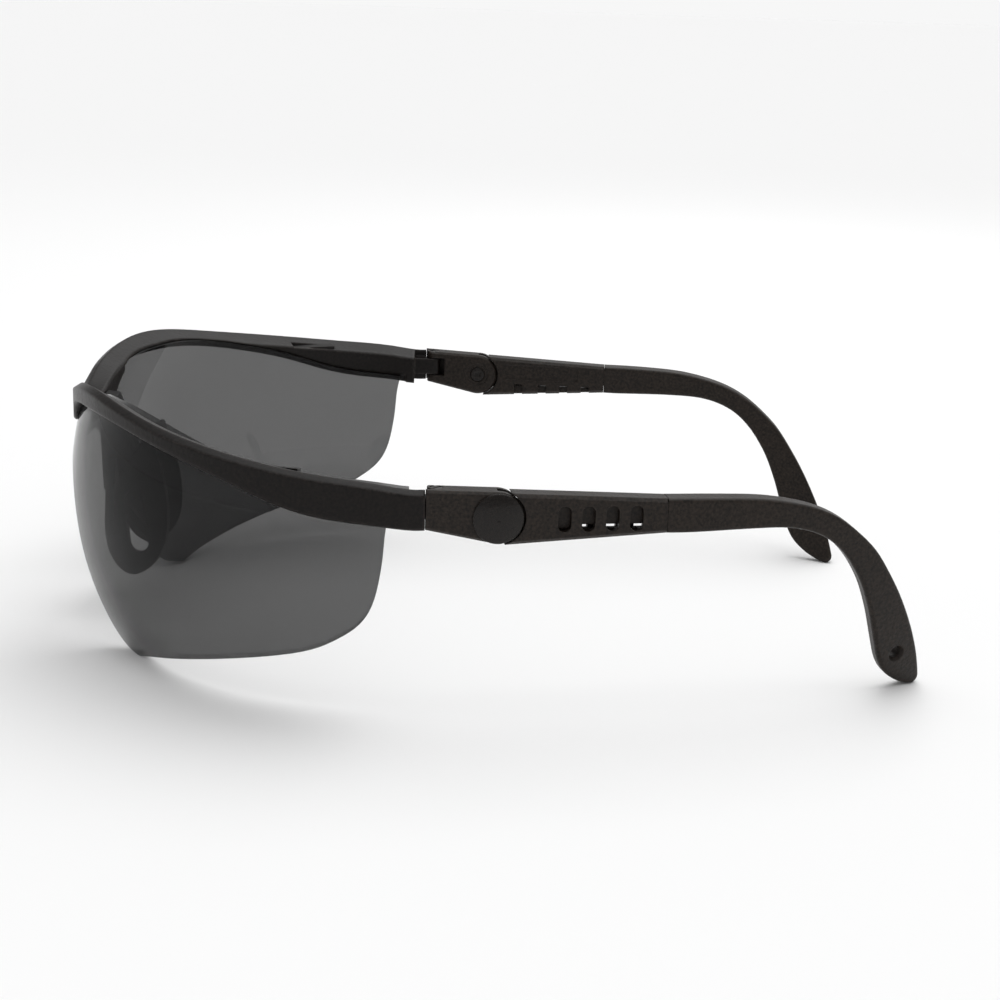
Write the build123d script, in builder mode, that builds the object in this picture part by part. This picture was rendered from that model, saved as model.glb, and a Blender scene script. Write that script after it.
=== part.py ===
"""Wrap-round safety glasses with ratchet-tilt, telescoping temples. Millimetres, +Z up.

The wearer faces -Y and the temples run towards +Y. The origin is on the floor under the middle.
Only the wearer's left temple (+X) is drawn; the right one is its mirror image.
"""
from build123d import *
import math
import os

# ---------------------------------------------------------------- driving dimensions
# Lens: one spherical shell
lens_radius = 60.34
lens_centre = (0, -22.7, 27.87)
lens_thickness = 2.2
lens_engagement = 1.5

# Brow frame: a bar bent round a vertical axis
brow_axis_y = -16.25
brow_outer_radius = 65.7
bridge_extra = 0.45
# angle from the front, outer top height, bottom height, fall of the top towards the inside
brow_stations = [
    (0, 45.5, 40.5, 0.4),
    (4, 46.2, 40.7, 0.5),
    (8, 47.8, 41.6, 0.9),
    (11, 49.2, 44.0, 1.4),
    (14, 50.2, 46.2, 1.8),
    (17.5, 51.1, 47.3, 2.1),
    (21, 51.75, 47.9, 2.25),
    (26, 52.2, 48.2, 2.3),
    (33, 51.9, 48.2, 2.25),
    (40, 50.85, 47.5, 2.1),
    (48, 49.4, 46.0, 1.9),
    (56, 48.05, 44.1, 1.7),
    (64, 46.8, 41.75, 1.55),
    (70, 45.95, 39.6, 1.45),
    (76, 45.2, 38.0, 1.35),
    (82, 44.6, 37.2, 1.25),
    (88, 43.8, 36.6, 1.1),
    (94, 43.2, 36.2, 0.85),
]
brow_end_gap = 0.08
brow_cutback_x = 63.9
brow_cutback_y = -14.5

# Temple line, measured in its own plane: u backwards, z up, m inwards from the outer face
temple_angle = 6.46
temple_origin = (65.6, -11.5, 0)
temple_thickness = 4.4
endpiece_front_low = 36.3
endpiece_front_high = 43.4

# Fold hinge
hinge_u = 2.0
hinge_m = 2.8
hinge_pin_radius = 0.7
hinge_bore = 0.74
ear_radius = 1.6
eye_radius = 1.5
tongue_low = 37.9
tongue_high = 41.6
slot_clearance = 0.25

# Tilt pivot with its ratchet
pivot_u = 12.5
pivot_z = 38.28
endpiece_radius = 4.6
sleeve_arc_radius = 4.9
disc_radius = 3.8
disc_thickness = 1.4
disc_slot = 1.6
pivot_pin_radius = 0.9
tooth_pitch = 4.0
cap_radius = 4.46
cap_height = 1.25

# Telescoping sleeve and tip
sleeve_end_u = 42.45
tip_start_u = 42.53
cavity_low = 35.9
cavity_high = 40.7
cavity_width = 2.0
rail_clearance = 0.1
rail_low = 36.75
rail_length = 20.0
window_pitch = 4.25
window_first_u = 24.19
window_size = (4.6, 2.35)
tip_outer_bend = 150.0
tip_inner_bend = 166.2
lanyard_hole_radius = 1.27

# Nose piece
post_half_width = 3.0
pad_thickness = 2.0
pad_lean = 10.5

os.makedirs("parts", exist_ok=True)

lean = math.radians(temple_angle)
along = Vector(-math.sin(lean), math.cos(lean), 0)
outward = Vector(math.cos(lean), math.sin(lean), 0)
temple_side = Plane(origin=temple_origin, x_dir=along, z_dir=outward)
temple_plan = Plane(origin=temple_origin, x_dir=along, z_dir=(0, 0, 1))
out_axis = Axis((0, 0, 0), outward)
along_axis = Axis(temple_origin, along)


def temple_point(u, z, m):
    """A point of the left temple in the shared frame."""
    return temple_side.from_local_coords(Vector(u, z, -m))


def station_plane(angle):
    """The upright plane through the brow axis at an angle from the front."""
    a = math.radians(angle)
    radial = (math.sin(a), -math.cos(a), 0)
    return Plane(origin=(0, brow_axis_y, 0), x_dir=radial, z_dir=(-math.cos(a), -math.sin(a), 0))


def brow_inner_radius(angle):
    """The brow grows thicker from the front to the hinges."""
    table = [(0, 61.0), (30, 60.2), (60, 59.5), (72, 59.3), (80, 58.7), (88, 58.3), (94, 58.3)]
    for (a0, r0), (a1, r1) in zip(table, table[1:]):
        if a0 <= abs(angle) <= a1:
            return r0 + (r1 - r0) * (abs(angle) - a0) / (a1 - a0)
    return table[-1][1]


def brow_section(angle, top, bottom, fall):
    """The bevelled section of the brow bar, as radius and height."""
    inner = brow_inner_radius(angle)
    outer = brow_outer_radius + bridge_extra * max(0, 1 - abs(angle) / 14)
    return [
        (inner + 0.4, bottom),
        (outer - 0.35, bottom),
        (outer, bottom + 0.35),
        (outer, top - 0.8),
        (outer - 1.3, top),
        (inner + 0.4, top - fall),
        (inner, top - fall - 0.4),
        (inner, bottom + 0.4),
    ]


def lens_section(angle, top, bottom, fall):
    """What lies below the top edge of the lens, as radius and height."""
    edge = bottom + lens_engagement
    return [(45, -8), (70, -8), (70, edge), (45, edge)]


def seat_section(angle, top, bottom, fall):
    """The same with clearance, for the groove in the brow."""
    edge = bottom + lens_engagement + 0.08
    return [(44, -9), (71, -9), (71, edge), (44, edge)]


both_sides = [(-a, t, b, f) for a, t, b, f in reversed(brow_stations[1:])] + brow_stations


def ring_sketches(section, stations):
    """One closed profile on each station plane."""
    profiles = []
    for angle, top, bottom, fall in stations:
        with BuildSketch(station_plane(angle)) as profile:
            with BuildLine():
                Polyline(*section(angle, top, bottom, fall), close=True)
            make_face()
        profiles.append(profile.sketch)
    return profiles


# ---------------------------------------------------------------- lens
# Rear and lower edge of the lens in side view
lens_side_edge = [
    (-16.9, 46.0),
    (-17.3, 39.7),
    (-18.4, 34.9),
    (-18.9, 29.5),
    (-19.4, 25.9),
    (-20.2, 22.1),
    (-21.9, 18.2),
    (-23.7, 16.1),
    (-26.2, 14.2),
    (-30.2, 11.9),
    (-36.1, 9.9),
    (-42.0, 8.4),
    (-48.1, 6.8),
    (-54.5, 4.9),
    (-59.7, 3.1),
    (-63.4, 1.6),
    (-66.0, 0.0),
]
# Half of the cut-out over the nose in front view
nose_edge = [
    (30.8, 0.0),
    (28.9, 0.3),
    (27.3, 1.1),
    (26.2, 2.5),
    (25.5, 4.6),
    (24.8, 8.2),
    (23.7, 12.8),
    (21.7, 21.0),
    (19.2, 28.0),
    (15.8, 32.6),
    (11.0, 35.3),
    (5.5, 36.3),
    (0.0, 36.5),
]

with BuildPart() as lens_limits:
    with BuildSketch(Plane.YZ):
        with BuildLine():
            edge = Spline(*lens_side_edge)
            Polyline(edge @ 1, (-95, 0), (-95, 60), (-16.9, 60), edge @ 0)
        make_face()
    extrude(amount=75, both=True)
    with BuildSketch(Plane.XZ.offset(50)):
        with BuildLine():
            right_edge = Spline(*nose_edge)
            left_edge = Spline(*[(-x, z) for x, z in reversed(nose_edge)])
            Polyline(left_edge @ 1, (-30.8, -3), (30.8, -3), right_edge @ 0)
        make_face()
    extrude(amount=40, mode=Mode.SUBTRACT)

with BuildPart() as lens:
    loft(sections=ring_sketches(lens_section, both_sides))
    with Locations(lens_centre):
        Sphere(lens_radius, mode=Mode.INTERSECT)
    with Locations(lens_centre):
        Sphere(lens_radius - lens_thickness, mode=Mode.SUBTRACT)
    add(lens_limits.part, mode=Mode.INTERSECT)
lens.part.label = "lens"
export_step(lens.part, "parts/lens.step")

# ---------------------------------------------------------------- brow frame
with BuildPart() as lens_seat:
    loft(sections=ring_sketches(seat_section, both_sides))
    with Locations(lens_centre):
        Sphere(lens_radius + 0.04, mode=Mode.INTERSECT)
    with BuildSketch(Plane.XY.offset(60)):
        with Locations((0, -60)):
            Rectangle(160, 86.9)
    extrude(amount=-80, mode=Mode.INTERSECT)

with BuildPart() as seat_core:
    with Locations(lens_centre):
        Sphere(lens_radius - lens_thickness - 0.04)
    with BuildSketch(Plane.XY.offset(-40)):
        with BuildLine():
            Polyline((0, 0), (-19.4, -100), (19.4, -100), close=True)
        make_face()
    extrude(amount=120, mode=Mode.INTERSECT)

with BuildPart() as lens_groove:
    add(lens_seat.part)
    add(seat_core.part, mode=Mode.SUBTRACT)

hinge_xy = temple_point(hinge_u, 0, hinge_m)


def brow_end(x):
    """Where the brow stops, a hair in front of the slanted face of the endpiece."""
    return temple_origin[1] - (temple_origin[0] - x) * math.tan(lean) - brow_end_gap


with BuildPart() as brow_frame:
    loft(sections=ring_sketches(brow_section, both_sides))
    with BuildSketch(Plane.XY.offset(25)):
        with BuildLine():
            Polyline(
                (-60, brow_end(60)),
                (60, brow_end(60)),
                (75, brow_end(75)),
                (75, 10),
                (-75, 10),
                (-75, brow_end(75)),
                close=True,
            )
        make_face()
        with Locations((0, brow_cutback_y + 10)):
            Rectangle(2 * brow_cutback_x, 20)
    extrude(amount=40, mode=Mode.SUBTRACT)
    add(lens_groove.part, mode=Mode.SUBTRACT)
    with BuildSketch(Plane.XY.offset(tongue_low)):
        for side in (1, -1):
            with Locations((side * hinge_xy.X, hinge_xy.Y)):
                Circle(eye_radius)
            with Locations((side * hinge_xy.X, (hinge_xy.Y + brow_cutback_y) / 2 - 0.2)):
                Rectangle(2 * eye_radius, hinge_xy.Y - brow_cutback_y + 0.4)
    extrude(amount=tongue_high - tongue_low)
    with BuildSketch(Plane.XY.offset(tongue_low - 1)):
        with Locations((hinge_xy.X, hinge_xy.Y), (-hinge_xy.X, hinge_xy.Y)):
            Circle(hinge_bore)
    extrude(amount=6, mode=Mode.SUBTRACT)
    # pockets for the two lens clips
    for start in (63.9, -73.5):
        with BuildSketch(station_plane(start)):
            with BuildLine():
                Polyline(
                    (59.97, 40),
                    (61.13, 40),
                    (61.13, 44.18),
                    (61.63, 44.18),
                    (61.63, 49),
                    (59.77, 49),
                    (59.77, 44.18),
                    (59.97, 44.18),
                    close=True,
                )
            make_face()
        revolve(axis=Axis((0, brow_axis_y, 0), (0, 0, 1)), revolution_arc=9.6, mode=Mode.SUBTRACT)
    # blind hole for the peg of the nose bridge
    with BuildSketch(Plane.XZ.offset(77.0)):
        with Locations((0, 43.6)):
            Circle(0.8)
    extrude(amount=1.4, mode=Mode.SUBTRACT)
brow_frame.part.label = "brow_frame"
export_step(brow_frame.part, "parts/brow_frame.step")

# ---------------------------------------------------------------- lens clips
with BuildPart() as left_lens_clip:
    with BuildSketch(station_plane(64)):
        with BuildLine():
            Polyline(
                (60.0, 40.0),
                (61.1, 40.0),
                (61.1, 44.2),
                (61.6, 44.2),
                (61.6, 45.1),
                (59.8, 44.8),
                (59.8, 44.2),
                (60.0, 44.2),
                close=True,
            )
        make_face()
    revolve(axis=Axis((0, brow_axis_y, 0), (0, 0, 1)), revolution_arc=9.4)
    add(lens_seat.part, mode=Mode.SUBTRACT)
left_lens_clip.part.label = "left_lens_clip"
export_step(left_lens_clip.part, "parts/left_lens_clip.step")

with BuildPart() as right_lens_clip:
    mirror(left_lens_clip.part, about=Plane.YZ)
right_lens_clip.part.label = "right_lens_clip"
export_step(right_lens_clip.part, "parts/right_lens_clip.step")

# ---------------------------------------------------------------- nose bridge and pads
arm_profile = [(2.0, 33.0), (5.6, 32.2), (9.4, 27.0), (11.4, 21.5), (11.2, 18.0), (9.9, 18.0)]
arm_profile += [(9.7, 21.0), (7.6, 25.2), (4.2, 28.8), (2.0, 29.0)]

with BuildPart() as nose_bridge:
    with BuildSketch(Plane.YZ):
        with BuildLine():
            Polyline(
                (-77.6, 43.9),
                (-77.1, 25.5),
                (-74.0, 25.0),
                (-70.0, 32.0),
                (-71.5, 38.0),
                (-74.2, 44.6),
                (-76.6, 44.9),
                close=True,
            )
        make_face()
    extrude(amount=post_half_width, both=True)
    rear_corners = nose_bridge.faces().filter_by(Axis.X).edges().sort_by(Axis.Y)[-4:]
    chamfer(rear_corners, length=0.7)
    add(brow_frame.part, mode=Mode.SUBTRACT)
    with BuildSketch(Plane.XZ.offset(74.0)):
        for side in (1, -1):
            with BuildLine():
                Polyline(*[(side * x, z) for x, z in arm_profile], close=True)
            make_face()
    extrude(amount=1.6)
    with BuildSketch(Plane.XZ.offset(77.0)):
        with Locations((0, 43.6)):
            Circle(0.75)
    extrude(amount=1.3)
nose_bridge.part.label = "nose_bridge"
export_step(nose_bridge.part, "parts/nose_bridge.step")

pad_tilt = math.radians(pad_lean)
pad_plane = Plane(
    origin=(9.6, -69.5, 23.5),
    x_dir=(0.10, 1, 0),
    z_dir=(math.cos(pad_tilt), -0.10 * math.cos(pad_tilt), math.sin(pad_tilt)),
)
pad_outline = [
    (3.4, 13.8),
    (5.4, 6.5),
    (6.6, -3.0),
    (4.6, -10.0),
    (-0.4, -13.3),
    (-4.5, -10.0),
    (-5.8, -3.6),
    (-4.6, 3.5),
    (-1.2, 10.4),
]

with BuildPart() as left_nose_pad:
    with BuildSketch(pad_plane):
        with BuildLine():
            Spline(*pad_outline, periodic=True)
        make_face()
        with Locations((0.3, -2.4)):
            SlotOverall(12.6, 4.2, rotation=98, mode=Mode.SUBTRACT)
        with Locations((0.3, -2.4)):
            Rectangle(7.6, 1.3, rotation=-48)
    extrude(amount=pad_thickness / 2, both=True)
    with BuildSketch(Plane.XZ.offset(73.95)):
        with BuildLine():
            Polyline(*arm_profile, close=True)
        make_face()
        offset(amount=0.05)
    extrude(amount=1.9, mode=Mode.SUBTRACT)
left_nose_pad.part.label = "left_nose_pad"
export_step(left_nose_pad.part, "parts/left_nose_pad.step")

with BuildPart() as right_nose_pad:
    mirror(left_nose_pad.part, about=Plane.YZ)
right_nose_pad.part.label = "right_nose_pad"
export_step(right_nose_pad.part, "parts/right_nose_pad.step")


# ---------------------------------------------------------------- endpiece
def tangent_point(point, centre, radius, turn):
    """Where the line from a point touches a circle, on the side that turn picks."""
    dx = centre[0] - point[0]
    dy = centre[1] - point[1]
    reach = math.hypot(dx, dy)
    angle = math.atan2(dy, dx) + turn * math.asin(radius / reach)
    length = math.sqrt(reach * reach - radius * radius)
    return (point[0] + length * math.cos(angle), point[1] + length * math.sin(angle))


pivot = (pivot_u, pivot_z)
upper_touch = tangent_point((0, endpiece_front_high), pivot, endpiece_radius, 1)
lower_touch = tangent_point((0, endpiece_front_low), pivot, endpiece_radius, -1)

with BuildPart() as left_endpiece:
    with BuildSketch(temple_side):
        with BuildLine():
            Polyline(
                (0, endpiece_front_low),
                (0, endpiece_front_high),
                upper_touch,
                pivot,
                lower_touch,
                close=True,
            )
        make_face()
        with Locations(pivot):
            Circle(endpiece_radius)
    extrude(amount=-temple_thickness)
    rims = left_endpiece.faces().filter_by(out_axis).edges().filter_by(GeomType.LINE)
    long_rims = rims.filter_by(lambda e: e.length > 9)
    chamfer(long_rims, length=0.5)
    # the front inner corner is rounded about the fold hinge
    with BuildSketch(temple_plan.offset(30)):
        with Locations((0.5, 4.1)):
            Rectangle(3.0, 5.8)
        with Locations((hinge_u, hinge_m)):
            Circle(ear_radius, mode=Mode.SUBTRACT)
    extrude(amount=18, mode=Mode.SUBTRACT)
    # fork for the tongue of the brow
    with BuildSketch(temple_plan.offset(tongue_low - slot_clearance)):
        with Locations((1.8, 4.1)):
            Rectangle(5.6, 6.0)
    extrude(amount=tongue_high - tongue_low + 2 * slot_clearance, mode=Mode.SUBTRACT)
    with BuildSketch(temple_plan.offset(30)):
        with Locations((hinge_u, hinge_m)):
            Circle(hinge_pin_radius + 0.01)
    extrude(amount=18, mode=Mode.SUBTRACT)
    with BuildSketch(temple_plan.offset(42.75)):
        with Locations((hinge_u, hinge_m)):
            Circle(1.15)
    extrude(amount=2, mode=Mode.SUBTRACT)
    # slot between the cheeks for the ratchet disc, with the pocket of its spring
    with BuildSketch(temple_side.offset(-temple_thickness / 2 - disc_slot / 2)):
        with Locations(pivot):
            Circle(disc_radius + 0.2)
        with Locations((pivot_u + 3, pivot_z)):
            Rectangle(6, 12)
        with Locations((8.3, pivot_z)):
            Rectangle(2.6, 5.4)
    extrude(amount=disc_slot, mode=Mode.SUBTRACT)
    # pivot bore, with the recess of the pin head on the inner face
    with BuildSketch(temple_side.offset(-temple_thickness)):
        with Locations(pivot):
            Circle(pivot_pin_radius + 0.01)
    extrude(amount=temple_thickness, mode=Mode.SUBTRACT)
    with BuildSketch(temple_side.offset(-temple_thickness)):
        with Locations(pivot):
            Circle(1.75)
    extrude(amount=0.7, mode=Mode.SUBTRACT)
    with BuildSketch(temple_side.offset(-temple_thickness)):
        with Locations(pivot):
            Circle(2.6)
    extrude(amount=0.25, mode=Mode.SUBTRACT)
left_endpiece.part.label = "left_endpiece"
export_step(left_endpiece.part, "parts/left_endpiece.step")

with BuildPart() as left_hinge_pin:
    with BuildSketch(temple_plan.offset(36.4)):
        with Locations((hinge_u, hinge_m)):
            Circle(hinge_pin_radius)
    extrude(amount=42.75 - 36.4)
    with BuildSketch(temple_plan.offset(42.76)):
        with Locations((hinge_u, hinge_m)):
            Circle(1.1)
            Rectangle(2.4, 0.35, rotation=35, mode=Mode.SUBTRACT)
    extrude(amount=0.45)
    with BuildSketch(temple_plan.offset(42.6)):
        with Locations((hinge_u, hinge_m)):
            Circle(hinge_pin_radius)
    extrude(amount=0.3)
left_hinge_pin.part.label = "left_hinge_pin"
export_step(left_hinge_pin.part, "parts/left_hinge_pin.step")

dome_rise = cap_height - 0.32
dome_radius = (cap_radius**2 + dome_rise**2) / (2 * dome_rise)
pivot_face = temple_point(pivot_u, pivot_z, 0)
pivot_axis = Axis(pivot_face, outward)
pivot_section = Plane(origin=pivot_face, x_dir=along, z_dir=(0, 0, -1))

with BuildPart() as left_pivot_cap:
    with BuildSketch(pivot_section):
        with BuildLine():
            Polyline(
                (0, 0.55),
                (pivot_pin_radius + 0.03, 0.55),
                (pivot_pin_radius + 0.03, 0.02),
                (cap_radius - 0.15, 0.02),
                (cap_radius, 0.17),
                (cap_radius, 0.32),
            )
            RadiusArc((cap_radius, 0.32), (0, cap_height), -dome_radius)
            Line((0, cap_height), (0, 0.55))
        make_face()
    revolve(axis=pivot_axis)
left_pivot_cap.part.label = "left_pivot_cap"
export_step(left_pivot_cap.part, "parts/left_pivot_cap.step")

with BuildPart() as left_pivot_pin:
    with BuildSketch(pivot_section):
        with BuildLine():
            Polyline(
                (0, -4.1),
                (0.55, -4.1),
                (0.75, -4.3),
                (1.45, -4.3),
                (1.7, -4.1),
                (1.7, -3.71),
                (pivot_pin_radius, -3.71),
                (pivot_pin_radius, 0.5),
                (0, 0.5),
                close=True,
            )
        make_face()
    revolve(axis=pivot_axis)
left_pivot_pin.part.label = "left_pivot_pin"
export_step(left_pivot_pin.part, "parts/left_pivot_pin.step")

with BuildPart() as left_ratchet_spring:
    with BuildSketch(temple_side.offset(-temple_thickness / 2 - 0.65)):
        with BuildLine():
            Polyline(
                (7.35, pivot_z - 2.6),
                (7.35, pivot_z - 1.45),
                (8.42, pivot_z),
                (7.35, pivot_z + 1.45),
                (7.35, pivot_z + 2.6),
                (7.05, pivot_z + 2.6),
                (7.05, pivot_z + 1.3),
                (8.0, pivot_z),
                (7.05, pivot_z - 1.3),
                (7.05, pivot_z - 2.6),
                close=True,
            )
        make_face()
    extrude(amount=1.3)
left_ratchet_spring.part.label = "left_ratchet_spring"
export_step(left_ratchet_spring.part, "parts/left_ratchet_spring.step")

# ---------------------------------------------------------------- sleeve
with BuildPart() as left_sleeve:
    with BuildSketch(temple_side):
        with BuildLine():
            Polyline(
                (11, 42.75),
                (sleeve_end_u, 41.4),
                (sleeve_end_u, 35.2),
                (11, 33.2),
                close=True,
            )
        make_face()
    extrude(amount=-temple_thickness)
    long_edges = left_sleeve.edges().filter_by(lambda e: e.length > 25)
    chamfer(long_edges, length=0.65)
    with BuildSketch(temple_side):
        with Locations(pivot):
            Circle(sleeve_arc_radius)
        with Locations((pivot_u - 4, pivot_z)):
            Rectangle(10.8, 20)
    extrude(amount=-temple_thickness, mode=Mode.SUBTRACT)
    # neck and ratchet disc
    with BuildSketch(temple_side.offset(-temple_thickness / 2 - disc_thickness / 2)):
        with Locations(pivot):
            Circle(disc_radius)
        with BuildLine():
            Polyline(
                (pivot_u, pivot_z - 2.4),
                (pivot_u + 6, pivot_z - 3.2),
                (pivot_u + 6, pivot_z + 3.2),
                (pivot_u, pivot_z + 2.4),
                close=True,
            )
        make_face()
        with Locations(pivot):
            Circle(pivot_pin_radius + 0.05, mode=Mode.SUBTRACT)
            first_tooth = 180 - 6 * tooth_pitch
            with PolarLocations(disc_radius + 0.06, 13, first_tooth, 12 * tooth_pitch, endpoint=True):
                Rectangle(0.36, 0.36, rotation=45, mode=Mode.SUBTRACT)
    extrude(amount=disc_thickness)
    # cavity for the rail of the tip
    with BuildSketch(temple_side.offset(-temple_thickness / 2 - cavity_width / 2)):
        with Locations(((21.5 + sleeve_end_u + 1) / 2, (cavity_low + cavity_high) / 2)):
            Rectangle(sleeve_end_u + 1 - 21.5, cavity_high - cavity_low)
    extrude(amount=cavity_width, mode=Mode.SUBTRACT)
    # four index windows in the outer wall
    with BuildSketch(temple_side.offset(0.1)):
        for k in range(4):
            with Locations((window_first_u + k * window_pitch, 38.0)):
                SlotOverall(window_size[0], window_size[1], rotation=90)
    extrude(amount=-2.0, mode=Mode.SUBTRACT)
    # notches along the lower edge of the inner wall
    with BuildSketch(temple_side.offset(-temple_thickness - 0.1)):
        with Locations((22.3, 35.05), (27.9, 35.05), (33.0, 35.05), (38.1, 35.05)):
            Rectangle(1.9, 2.7)
    extrude(amount=1.6, mode=Mode.SUBTRACT)
    # shallow panel on the inner face
    with BuildSketch(temple_side.offset(-temple_thickness - 0.05)):
        with Locations((27.6, 39.2)):
            RectangleRounded(17.6, 3.4, 0.6)
    extrude(amount=0.3, mode=Mode.SUBTRACT)
left_sleeve.part.label = "left_sleeve"
export_step(left_sleeve.part, "parts/left_sleeve.step")

# ---------------------------------------------------------------- temple tip
tip_upper = [
    (tip_start_u, 41.4),
    (48.8, 41.35),
    (54.5, 41.2),
    (60.3, 40.85),
    (66.0, 39.9),
    (71.6, 38.25),
    (76.0, 36.0),
    (79.7, 33.2),
    (83.3, 29.8),
    (86.5, 25.5),
    (89.5, 20.8),
    (92.4, 15.4),
    (95.0, 9.6),
    (96.8, 4.4),
    (97.45, 1.9),
]
tip_lower = [
    (96.2, 0.0),
    (94.6, 0.35),
    (92.9, 1.05),
    (91.0, 2.2),
    (89.1, 3.8),
    (87.6, 5.9),
    (86.2, 9.4),
    (84.9, 13.4),
    (83.8, 16.8),
    (82.5, 20.2),
    (81.2, 23.1),
    (79.5, 26.0),
    (77.8, 28.4),
    (75.8, 30.6),
    (73.6, 32.4),
    (71.0, 33.8),
    (66.3, 35.15),
    (60.2, 35.5),
    (53.7, 35.4),
    (tip_start_u, 35.2),
]
bend_start = (43.0, 38.0)

hole_u = 91.15
hole_z = 7.58
hole_du = hole_u - bend_start[0]
hole_dz = hole_z - bend_start[1]
hole_drop = tip_outer_bend - math.sqrt(tip_outer_bend**2 - hole_du**2 - hole_dz**2)
hole_point = temple_point(hole_u, hole_z, hole_drop)
hole_axis = (hole_point - temple_point(*bend_start, tip_outer_bend)).normalized()
hole_plane = Plane(origin=hole_point, z_dir=hole_axis)

with BuildPart() as left_temple_tip:
    with BuildSketch(temple_side.offset(0.5)):
        with BuildLine():
            upper = Spline(*tip_upper)
            lower = Spline(*tip_lower)
            heel = TangentArc(upper @ 1, lower @ 0, tangent=upper % 1)
            Line(lower @ 1, upper @ 0)
        make_face()
    extrude(amount=-30)
    with Locations(temple_point(*bend_start, tip_outer_bend)):
        Sphere(tip_outer_bend, mode=Mode.INTERSECT)
    with Locations(temple_point(*bend_start, temple_thickness + tip_inner_bend)):
        Sphere(tip_inner_bend, mode=Mode.SUBTRACT)
    rim = left_temple_tip.edges().filter_by_position(along_axis, tip_start_u + 0.1, 120)
    fillet(rim.filter_by(lambda e: e.length > 6), radius=0.7)
    with BuildSketch(hole_plane):
        Circle(lanyard_hole_radius)
    extrude(amount=6, both=True, mode=Mode.SUBTRACT)
    with Locations(hole_plane.offset(-0.15).location):
        Cone(1.27, 2.0, 0.9, mode=Mode.SUBTRACT)
    with Locations(hole_plane.offset(-3.3).location):
        Cone(2.0, 1.27, 0.9, mode=Mode.SUBTRACT)
    # rail inside the sleeve, with a full-height guide head at its front end
    rail_middle = (rail_low + cavity_high - rail_clearance) / 2
    with BuildSketch(temple_side.offset(-temple_thickness / 2 - cavity_width / 2 + rail_clearance)):
        with Locations((tip_start_u - rail_length / 2 + 0.25, rail_middle)):
            Rectangle(rail_length + 0.5, cavity_high - rail_clearance - rail_low)
        with Locations((tip_start_u - rail_length + 1.5, (cavity_low + cavity_high) / 2)):
            Rectangle(3.0, cavity_high - cavity_low - 2 * rail_clearance)
    extrude(amount=cavity_width - 2 * rail_clearance)
left_temple_tip.part.label = "left_temple_tip"
export_step(left_temple_tip.part, "parts/left_temple_tip.step")

# ---------------------------------------------------------------- right side
with BuildPart() as right_endpiece:
    mirror(left_endpiece.part, about=Plane.YZ)
right_endpiece.part.label = "right_endpiece"
export_step(right_endpiece.part, "parts/right_endpiece.step")

with BuildPart() as right_hinge_pin:
    mirror(left_hinge_pin.part, about=Plane.YZ)
right_hinge_pin.part.label = "right_hinge_pin"
export_step(right_hinge_pin.part, "parts/right_hinge_pin.step")

with BuildPart() as right_pivot_cap:
    mirror(left_pivot_cap.part, about=Plane.YZ)
right_pivot_cap.part.label = "right_pivot_cap"
export_step(right_pivot_cap.part, "parts/right_pivot_cap.step")

with BuildPart() as right_pivot_pin:
    mirror(left_pivot_pin.part, about=Plane.YZ)
right_pivot_pin.part.label = "right_pivot_pin"
export_step(right_pivot_pin.part, "parts/right_pivot_pin.step")

with BuildPart() as right_ratchet_spring:
    mirror(left_ratchet_spring.part, about=Plane.YZ)
right_ratchet_spring.part.label = "right_ratchet_spring"
export_step(right_ratchet_spring.part, "parts/right_ratchet_spring.step")

with BuildPart() as right_sleeve:
    mirror(left_sleeve.part, about=Plane.YZ)
right_sleeve.part.label = "right_sleeve"
export_step(right_sleeve.part, "parts/right_sleeve.step")

with BuildPart() as right_temple_tip:
    mirror(left_temple_tip.part, about=Plane.YZ)
right_temple_tip.part.label = "right_temple_tip"
export_step(right_temple_tip.part, "parts/right_temple_tip.step")

fold_point = temple_point(hinge_u, 39.75, hinge_m)
tilt_point = temple_point(pivot_u, pivot_z, temple_thickness / 2)
slide_point = temple_point(sleeve_end_u, 38.3, temple_thickness / 2)
print("fold hinge", fold_point, "tilt pivot", tilt_point, "slide", slide_point)
print("outward", outward, "along", along)
print("lanyard hole", hole_point, "axis", hole_axis)
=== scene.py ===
import math

import bmesh
import bpy
from mathutils import Euler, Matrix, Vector

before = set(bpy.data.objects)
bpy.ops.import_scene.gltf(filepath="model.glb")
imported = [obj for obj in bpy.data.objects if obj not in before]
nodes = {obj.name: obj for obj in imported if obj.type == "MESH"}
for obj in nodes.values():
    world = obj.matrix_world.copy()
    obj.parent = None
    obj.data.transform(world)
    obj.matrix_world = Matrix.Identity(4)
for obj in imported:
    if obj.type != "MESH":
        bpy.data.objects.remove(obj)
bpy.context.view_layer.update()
scene = bpy.context.scene

# Places and sizes are in metres and turns in degrees, unless a name says otherwise.

# The viewpoint, fitted to the outline of the front, the pivots and the hooks.
CAMERA_PLACE = (0.366065, -0.012576, 0.124551)
CAMERA_TURN = (74.649, -1.735, 87.876)
FOCAL_LENGTH_MM = 65.8
SENSOR_WIDTH_MM = 36

# A white tent: bright at the horizon and overhead, dimmer in between so that forms read.
# Each pair is a height, from 0 at the horizon to 1 overhead, and the brightness there.
TENT_LEVELS = [(0.0, 0.93), (0.10, 0.93), (0.28, 0.38), (0.65, 0.45), (1.0, 1.0)]
OVERHEAD_STRENGTH = 1.35
OVERHEAD_SPREAD = 70
OVERHEAD_TURN = (-12, -14, 0)
STRIP_PLACE = (-0.35, 0.1, 0.55)
STRIP_AIM = (0, 0, 0.03)
STRIP_SIZE = (0.25, 0.9)
STRIP_WATTS = 0.6
FLOOR_HALF_WIDTH = 30.0
FLOOR_GREY = 0.9

# Noise textures keep mostly between these two values.
NOISE_LOW = 0.3
NOISE_HIGH = 0.7

# The Mix node's colour sockets share their names with its number sockets, so they go by index.
MIX_COLOUR_A = 6
MIX_COLOUR_B = 7
MIX_COLOUR_RESULT = 2


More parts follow.
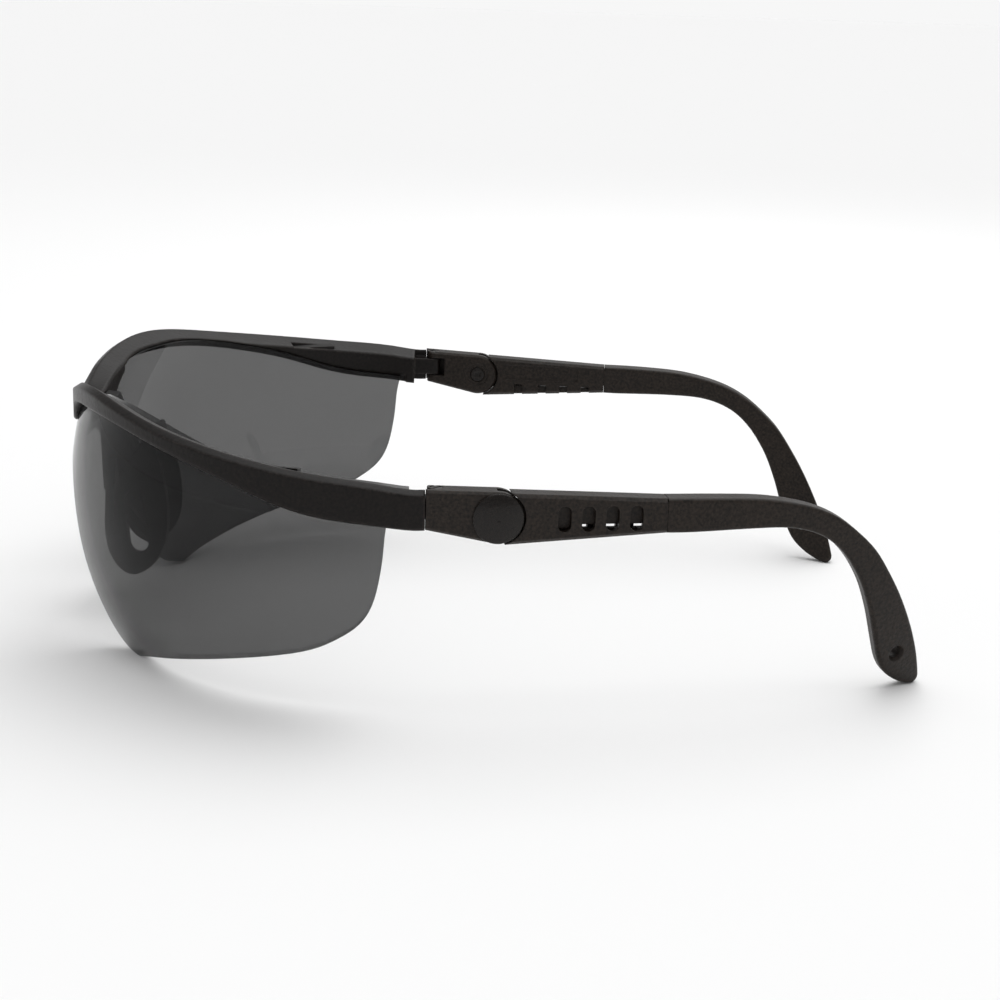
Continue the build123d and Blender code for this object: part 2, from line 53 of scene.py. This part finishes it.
def euler(degrees):
    return Euler([math.radians(angle) for angle in degrees])


def grey(level):
    return (level, level, level)


def fill_ramp(ramp, stops):
    """Give a colour ramp its stops: pairs of a place from 0 to 1 and a colour."""
    while len(ramp.elements) < len(stops):
        ramp.elements.new(0.5)
    for element, (place, colour) in zip(ramp.elements, stops):
        element.position = place
        element.color = (*colour, 1)


# ------------------------------------------------------------------ camera, light and floor
def camera():
    data = bpy.data.cameras.new("camera")
    data.sensor_width = SENSOR_WIDTH_MM
    data.lens = FOCAL_LENGTH_MM
    data.clip_start = 0.01
    data.clip_end = 20
    eye = bpy.data.objects.new("camera", data)
    scene.collection.objects.link(eye)
    eye.location = CAMERA_PLACE
    eye.rotation_euler = euler(CAMERA_TURN)
    scene.camera = eye


def tent_world():
    world = bpy.data.worlds.new("studio")
    world.use_nodes = True
    tree = world.node_tree
    direction = tree.nodes.new("ShaderNodeTexCoord").outputs["Generated"]
    split = tree.nodes.new("ShaderNodeSeparateXYZ")
    tree.links.new(direction, split.inputs["Vector"])
    shade = tree.nodes.new("ShaderNodeValToRGB")
    fill_ramp(shade.color_ramp, [(height, grey(level)) for height, level in TENT_LEVELS])
    tree.links.new(split.outputs["Z"], shade.inputs["Fac"])
    tree.links.new(shade.outputs["Color"], tree.nodes["Background"].inputs["Color"])
    scene.world = world


def overhead_light():
    """The lit roof of the tent, as one very wide sun."""
    data = bpy.data.lights.new("overhead_tent", "SUN")
    data.energy = OVERHEAD_STRENGTH
    data.angle = math.radians(OVERHEAD_SPREAD)
    lamp = bpy.data.objects.new("overhead_tent", data)
    scene.collection.objects.link(lamp)
    lamp.rotation_euler = euler(OVERHEAD_TURN)


def rear_strip():
    """A long soft box on the far side, for the sheen along the tops of the brow and temples."""
    data = bpy.data.lights.new("rear_strip", "AREA")
    data.shape = "RECTANGLE"
    data.size, data.size_y = STRIP_SIZE
    data.energy = STRIP_WATTS
    lamp = bpy.data.objects.new("rear_strip", data)
    scene.collection.objects.link(lamp)
    lamp.location = STRIP_PLACE
    aim = Vector(STRIP_AIM) - Vector(STRIP_PLACE)
    lamp.rotation_euler = aim.to_track_quat("-Z", "Y").to_euler()


def studio_floor():
    mesh = bpy.data.meshes.new("floor")
    bm = bmesh.new()
    bmesh.ops.create_grid(bm, x_segments=4, y_segments=4, size=FLOOR_HALF_WIDTH)
    bm.to_mesh(mesh)
    bm.free()
    floor = bpy.data.objects.new("floor", mesh)
    scene.collection.objects.link(floor)
    paint = bpy.data.materials.new("floor_paint")
    paint.use_nodes = True
    shader = paint.node_tree.nodes["Principled BSDF"]
    shader.inputs["Base Color"].default_value = (*grey(FLOOR_GREY), 1)
    shader.inputs["Roughness"].default_value = 0.9
    shader.inputs["Specular IOR Level"].default_value = 0.1
    mesh.materials.append(paint)


# ------------------------------------------------------------------ materials
class Graph:
    """A small helper for node materials in object coordinates (metres)."""

    def __init__(self, name):
        self.material = bpy.data.materials.new(name)
        self.material.use_nodes = True
        self.tree = self.material.node_tree
        self.shader = self.tree.nodes["Principled BSDF"]
        self.coords = self.add("TexCoord").outputs["Object"]

    def add(self, kind):
        return self.tree.nodes.new("ShaderNode" + kind)

    def link(self, a, b):
        self.tree.links.new(a, b)

    def noise(self, size_mm, detail=3.0, rough=0.55, stretch=(1, 1, 1)):
        mapping = self.add("Mapping")
        mapping.inputs["Scale"].default_value = stretch
        self.link(self.coords, mapping.inputs["Vector"])
        node = self.add("TexNoise")
        node.inputs["Scale"].default_value = 1000.0 / size_mm
        node.inputs["Detail"].default_value = detail
        node.inputs["Roughness"].default_value = rough
        self.link(mapping.outputs["Vector"], node.inputs["Vector"])
        return node.outputs["Fac"]

    def cells(self, size_mm):
        node = self.add("TexVoronoi")
        node.inputs["Scale"].default_value = 1000.0 / size_mm
        self.link(self.coords, node.inputs["Vector"])
        return node.outputs["Distance"]

    def ramp(self, source, stops):
        node = self.add("ValToRGB")
        fill_ramp(node.color_ramp, stops)
        self.link(source, node.inputs["Fac"])
        return node.outputs["Color"]

    def shades(self, noise, dark, light):
        """A colour that goes from dark to light as the noise rises."""
        return self.ramp(noise, [(NOISE_LOW, dark), (NOISE_HIGH, light)])

    def span(self, noise, low, high):
        """A number that goes from low to high as the noise rises."""
        node = self.add("MapRange")
        node.inputs["From Min"].default_value = NOISE_LOW
        node.inputs["From Max"].default_value = NOISE_HIGH
        node.inputs["To Min"].default_value = low
        node.inputs["To Max"].default_value = high
        self.link(noise, node.inputs["Value"])
        return node.outputs["Result"]

    def blend(self, first, second, share):
        """A mean of two numbers, with this share of the second."""
        node = self.add("Mix")
        node.data_type = "FLOAT"
        node.inputs["Factor"].default_value = share
        self.link(first, node.inputs["A"])
        self.link(second, node.inputs["B"])
        return node.outputs["Result"]

    def rounded(self, radius_mm):
        """The normal of the surface with its sharp edges rounded."""
        node = self.add("Bevel")
        node.samples = 6
        node.inputs["Radius"].default_value = radius_mm / 1000.0
        return node.outputs["Normal"]

    def edge_mask(self, rounded, sharpness):
        """0 on open faces, rising towards 1 on edges."""
        dot = self.add("VectorMath")
        dot.operation = "DOT_PRODUCT"
        self.link(rounded, dot.inputs[0])
        self.link(self.add("NewGeometry").outputs["Normal"], dot.inputs[1])
        node = self.add("MapRange")
        node.inputs["From Min"].default_value = 1.0
        node.inputs["From Max"].default_value = 1.0 - sharpness
        self.link(dot.outputs["Value"], node.inputs["Value"])
        return node.outputs["Result"]

    def mix_colour(self, first, second, factor):
        node = self.add("Mix")
        node.data_type = "RGBA"
        self.link(factor, node.inputs["Factor"])
        self.link(first, node.inputs[MIX_COLOUR_A])
        self.link(second, node.inputs[MIX_COLOUR_B])
        return node.outputs[MIX_COLOUR_RESULT]

    def times(self, first, second):
        node = self.add("Math")
        node.operation = "MULTIPLY"
        self.link(first, node.inputs[0])
        self.link(second, node.inputs[1])
        return node.outputs["Value"]

    def bump(self, height, depth_mm, normal=None):
        """Raise the surface by the height, over its own normal or the one given."""
        node = self.add("Bump")
        if normal is not None:
            self.link(normal, node.inputs["Normal"])
        node.inputs["Distance"].default_value = depth_mm / 1000.0
        self.link(height, node.inputs["Height"])
        self.link(node.outputs["Normal"], self.shader.inputs["Normal"])


def moulded(name, dark, light, worn_and_highlight, roughness, grain_mm, grain_depth_mm, specular, edge_mm):
    """Filled moulded plastic: spark-eroded grain, faint cloudy tone, uneven satin sheen, rubbed edges
    lightened further by a painted highlight.
    """
    pit_mm = grain_mm * 1.6
    pits_in_grain = 0.4
    cloud_mm = 9.0
    grain_in_tone = 0.86
    tone_low = 0.34
    tone_high = 0.66
    edge_mark_mm = 2.4
    faintest_edge_mark = 0.1
    strongest_edge_mark = 0.8
    edge_sharpness = 0.25

    g = Graph(name)
    fine = g.noise(grain_mm, detail=4.0, rough=0.65)
    pits = g.cells(pit_mm)
    cloud = g.noise(cloud_mm)
    edge_mark_noise = g.noise(edge_mark_mm, detail=5.0)
    soft_edge = g.rounded(edge_mm)

    # Edges are lightened in the base colour: partly rubbed wear, partly a painted highlight.
    rub_and_highlight_amount = g.span(edge_mark_noise, faintest_edge_mark, strongest_edge_mark)
    wear_and_highlight = g.times(g.edge_mask(soft_edge, edge_sharpness), rub_and_highlight_amount)
    tone = g.ramp(g.blend(cloud, fine, grain_in_tone), [(tone_low, dark), (tone_high, light)])
    g.link(g.mix_colour(tone, g.shades(fine, light, worn_and_highlight), wear_and_highlight), g.shader.inputs["Base Color"])
    sheen = g.span(g.blend(fine, cloud, 0.5), roughness - 0.07, roughness + 0.09)
    g.link(sheen, g.shader.inputs["Roughness"])
    g.shader.inputs["Specular IOR Level"].default_value = specular
    g.bump(g.blend(fine, pits, pits_in_grain), grain_depth_mm, normal=soft_edge)
    return g.material


def smoke_lens():
    """Polished grey polycarbonate. Light is dimmed at both faces, and more where it runs along the sheet."""
    haze_mm = 22.0
    wipe_mm = 5.0
    opacity_by_slant = [(0.0, 0.66), (0.55, 0.68), (0.82, 0.80), (0.97, 0.97)]

    g = Graph("smoke_lens")
    haze = g.noise(haze_mm, detail=2.0)
    wipe = g.noise(wipe_mm, detail=5.0, stretch=(1, 1, 4))
    tint = g.shades(haze, (0.0022, 0.0020, 0.0021), (0.0040, 0.0037, 0.0038))
    g.link(tint, g.shader.inputs["Base Color"])
    g.link(g.span(wipe, 0.02, 0.05), g.shader.inputs["Roughness"])
    slant = g.add("LayerWeight")
    slant.inputs["Blend"].default_value = 0.5
    stops = [(facing, grey(alpha)) for facing, alpha in opacity_by_slant]
    g.link(g.ramp(slant.outputs["Facing"], stops), g.shader.inputs["Alpha"])
    g.shader.inputs["IOR"].default_value = 1.58
    g.shader.inputs["Specular IOR Level"].default_value = 0.16
    return g.material


def soft_rubber():
    """Soft black elastomer: cloudy tone, fine dull grain, well rounded edges."""
    grain_mm = 0.35
    cloud_mm = 4.0
    edge_mm = 0.35

    g = Graph("soft_rubber")
    fine = g.noise(grain_mm, detail=4.0)
    cloud = g.noise(cloud_mm)
    tone = g.shades(cloud, (0.003, 0.003, 0.003), (0.007, 0.0068, 0.0069))
    g.link(tone, g.shader.inputs["Base Color"])
    g.link(g.span(fine, 0.52, 0.68), g.shader.inputs["Roughness"])
    g.shader.inputs["Specular IOR Level"].default_value = 0.2
    g.bump(fine, 0.012, normal=g.rounded(edge_mm))
    return g.material


def steel(name, dark, light, roughness):
    """Turned or rolled steel with fine level marks."""
    mark_mm = 0.25

    g = Graph(name)
    turned = g.noise(mark_mm, stretch=(1, 1, 8))
    g.link(g.shades(turned, dark, light), g.shader.inputs["Base Color"])
    g.shader.inputs["Metallic"].default_value = 1.0
    g.link(g.span(turned, roughness - 0.06, roughness + 0.1), g.shader.inputs["Roughness"])
    g.bump(turned, 0.004)
    return g.material


def dress(material, *names):
    for name in names:
        mesh = nodes[name].data
        if not mesh.materials:
            mesh.materials.append(material)
        for index in range(len(mesh.materials)):
            mesh.materials[index] = material


# ------------------------------------------------------------------ the scene
scene.view_settings.view_transform = "Standard"
camera()
tent_world()
overhead_light()
rear_strip()
studio_floor()

temple = moulded(
    "temple_grain",
    dark=(0.0030, 0.0019, 0.0012),
    light=(0.0260, 0.0188, 0.0142),
    worn_and_highlight=(0.06, 0.051, 0.045),
    roughness=0.43,
    grain_mm=0.55,
    grain_depth_mm=0.12,
    specular=0.2,
    edge_mm=0.35,
)
brow = moulded(
    "brow_satin",
    dark=(0.0010, 0.0006, 0.0004),
    light=(0.0085, 0.0058, 0.0048),
    # Painted highlight: this edge colour is far lighter than the brow's plastic, on top of the rubbed wear.
    worn_and_highlight=(0.11, 0.094, 0.086),
    roughness=0.34,
    grain_mm=0.55,
    grain_depth_mm=0.06,
    specular=0.17,
    edge_mm=0.8,
)
button = moulded(
    "button_satin",
    dark=(0.0030, 0.0020, 0.0014),
    light=(0.0100, 0.0070, 0.0054),
    worn_and_highlight=(0.05, 0.042, 0.037),
    roughness=0.28,
    grain_mm=0.55,
    grain_depth_mm=0.04,
    specular=0.26,
    edge_mm=0.4,
)
carrier = moulded(
    "carrier_black",
    dark=(0.0018, 0.0017, 0.0016),
    light=(0.0040, 0.0038, 0.0037),
    worn_and_highlight=(0.01, 0.01, 0.01),
    roughness=0.34,
    grain_mm=0.6,
    grain_depth_mm=0.01,
    specular=0.2,
    edge_mm=0.2,
)
clip = moulded(
    "clip_black",
    dark=(0.0040, 0.0030, 0.0025),
    light=(0.0080, 0.0062, 0.0053),
    worn_and_highlight=(0.02, 0.017, 0.015),
    roughness=0.5,
    grain_mm=0.4,
    grain_depth_mm=0.02,
    specular=0.24,
    edge_mm=0.2,
)
screw = steel("blackened_screw", (0.05, 0.047, 0.045), (0.11, 0.105, 0.10), 0.34)
spring = steel("spring_strip", (0.32, 0.32, 0.33), (0.52, 0.52, 0.53), 0.26)

dress(brow, "brow_frame")
dress(smoke_lens(), "lens")
dress(carrier, "nose_bridge")
dress(soft_rubber(), "left_nose_pad", "right_nose_pad")
dress(clip, "left_lens_clip", "right_lens_clip")
for side in ("left_", "right_"):
    dress(temple, side + "endpiece", side + "sleeve", side + "temple_tip")
    dress(button, side + "pivot_cap", side + "pivot_pin")
    dress(screw, side + "hinge_pin")
    dress(spring, side + "ratchet_spring")
